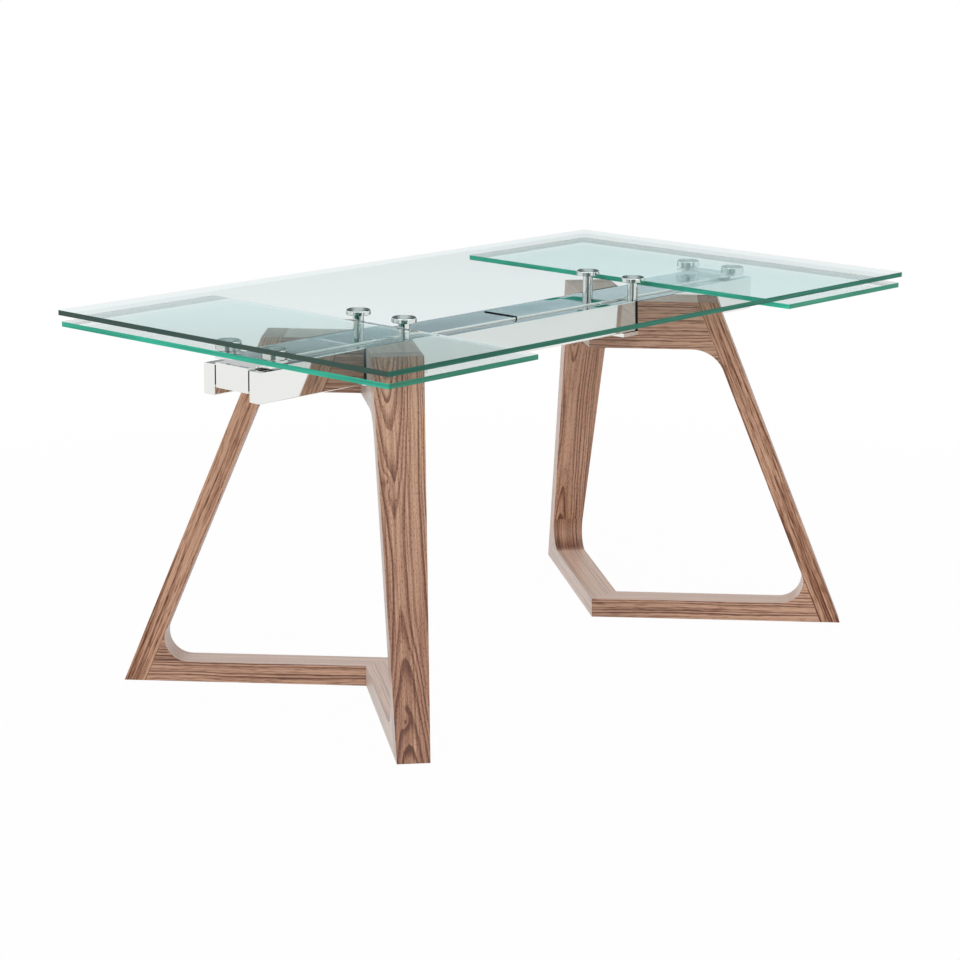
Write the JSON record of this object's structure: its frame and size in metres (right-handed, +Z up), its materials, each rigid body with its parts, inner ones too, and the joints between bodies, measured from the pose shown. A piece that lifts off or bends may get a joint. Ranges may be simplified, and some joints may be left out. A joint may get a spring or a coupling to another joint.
{
  "type": "extendable dining table",
  "caption": "Extendable dining table with a clear glass top on polished rails, glass leaves that slide out from under its ends, and V-folded wooden leg frames.",
  "frame": {"origin": "on the floor under the middle of the table", "axes": "+X along the table, +Y towards the back, +Z up"},
  "size_m": [1.6, 0.9, 0.765],
  "materials": {
    "clear_glass": "clear, faint green tint, polished edges",
    "polished_steel": "mirror polished",
    "walnut": "satin walnut veneer",
    "beech": "plain",
    "black_rubber": "matt",
    "black_plastic": "matt",
    "black_steel": "black paint",
    "screw_steel": "zinc plated",
    "bond": "dark bonding pad",
    "felt": "brown felt"
  },
  "bodies": {
    "frame": {"main_glass": "clear_glass", "main_post_bond_pads": "bond", "front_rail": "polished_steel", "back_rail": "polished_steel", "rail_end_caps": "polished_steel", "front_glide_strip": "black_plastic", "back_glide_strip": "black_plastic", "front_left_post_stem": "polished_steel", "back_left_post_stem": "polished_steel", "front_left_post_disc": "polished_steel", "back_left_post_disc": "polished_steel", "left_cradle_plate": "polished_steel", "left_stop_bar": "black_steel", "left_notch_liners": "black_plastic", "left_frame_screws": "screw_steel", "left_front_leg": "walnut", "left_front_base": "walnut", "left_front_top_beam": "walnut", "left_back_leg": "walnut", "left_back_base": "walnut", "left_back_top_beam": "walnut", "left_dowels": "beech", "left_floor_pads": "felt", "front_right_post_stem": "polished_steel", "back_right_post_stem": "polished_steel", "front_right_post_disc": "polished_steel", "back_right_post_disc": "polished_steel", "right_cradle_plate": "polished_steel", "right_stop_bar": "black_steel", "right_notch_liners": "black_plastic", "right_frame_screws": "screw_steel", "right_front_leg": "walnut", "right_front_base": "walnut", "right_front_top_beam": "walnut", "right_back_leg": "walnut", "right_back_base": "walnut", "right_back_top_beam": "walnut", "right_dowels": "beech", "right_floor_pads": "felt"},
    "left_leaf": {"left_leaf_glass": "clear_glass", "left_leaf_post_stems": "polished_steel", "left_leaf_post_discs": "polished_steel", "left_slider": "polished_steel", "left_slider_end_cap": "polished_steel", "left_bridge_plate": "polished_steel", "left_leaf_post_bond_pads": "bond", "left_slider_bumper": "black_rubber", "left_stop_block": "black_plastic", "left_slider_screws": "screw_steel"},
    "right_leaf": {"right_leaf_glass": "clear_glass", "right_leaf_post_stems": "polished_steel", "right_leaf_post_discs": "polished_steel", "right_slider": "polished_steel", "right_slider_end_cap": "polished_steel", "right_bridge_plate": "polished_steel", "right_leaf_post_bond_pads": "bond", "right_slider_bumper": "black_rubber", "right_stop_block": "black_plastic", "right_slider_screws": "screw_steel"}
  },
  "joints": [
    {"name": "left_leaf_slide", "type": "slide", "parent": "frame", "child": "left_leaf", "axis": [-1, 0, 0], "range_m": [0, 0.41]},
    {"name": "right_leaf_slide", "type": "slide", "parent": "frame", "child": "right_leaf", "axis": [1, 0, 0], "range_m": [0, 0.41]}
  ]
}
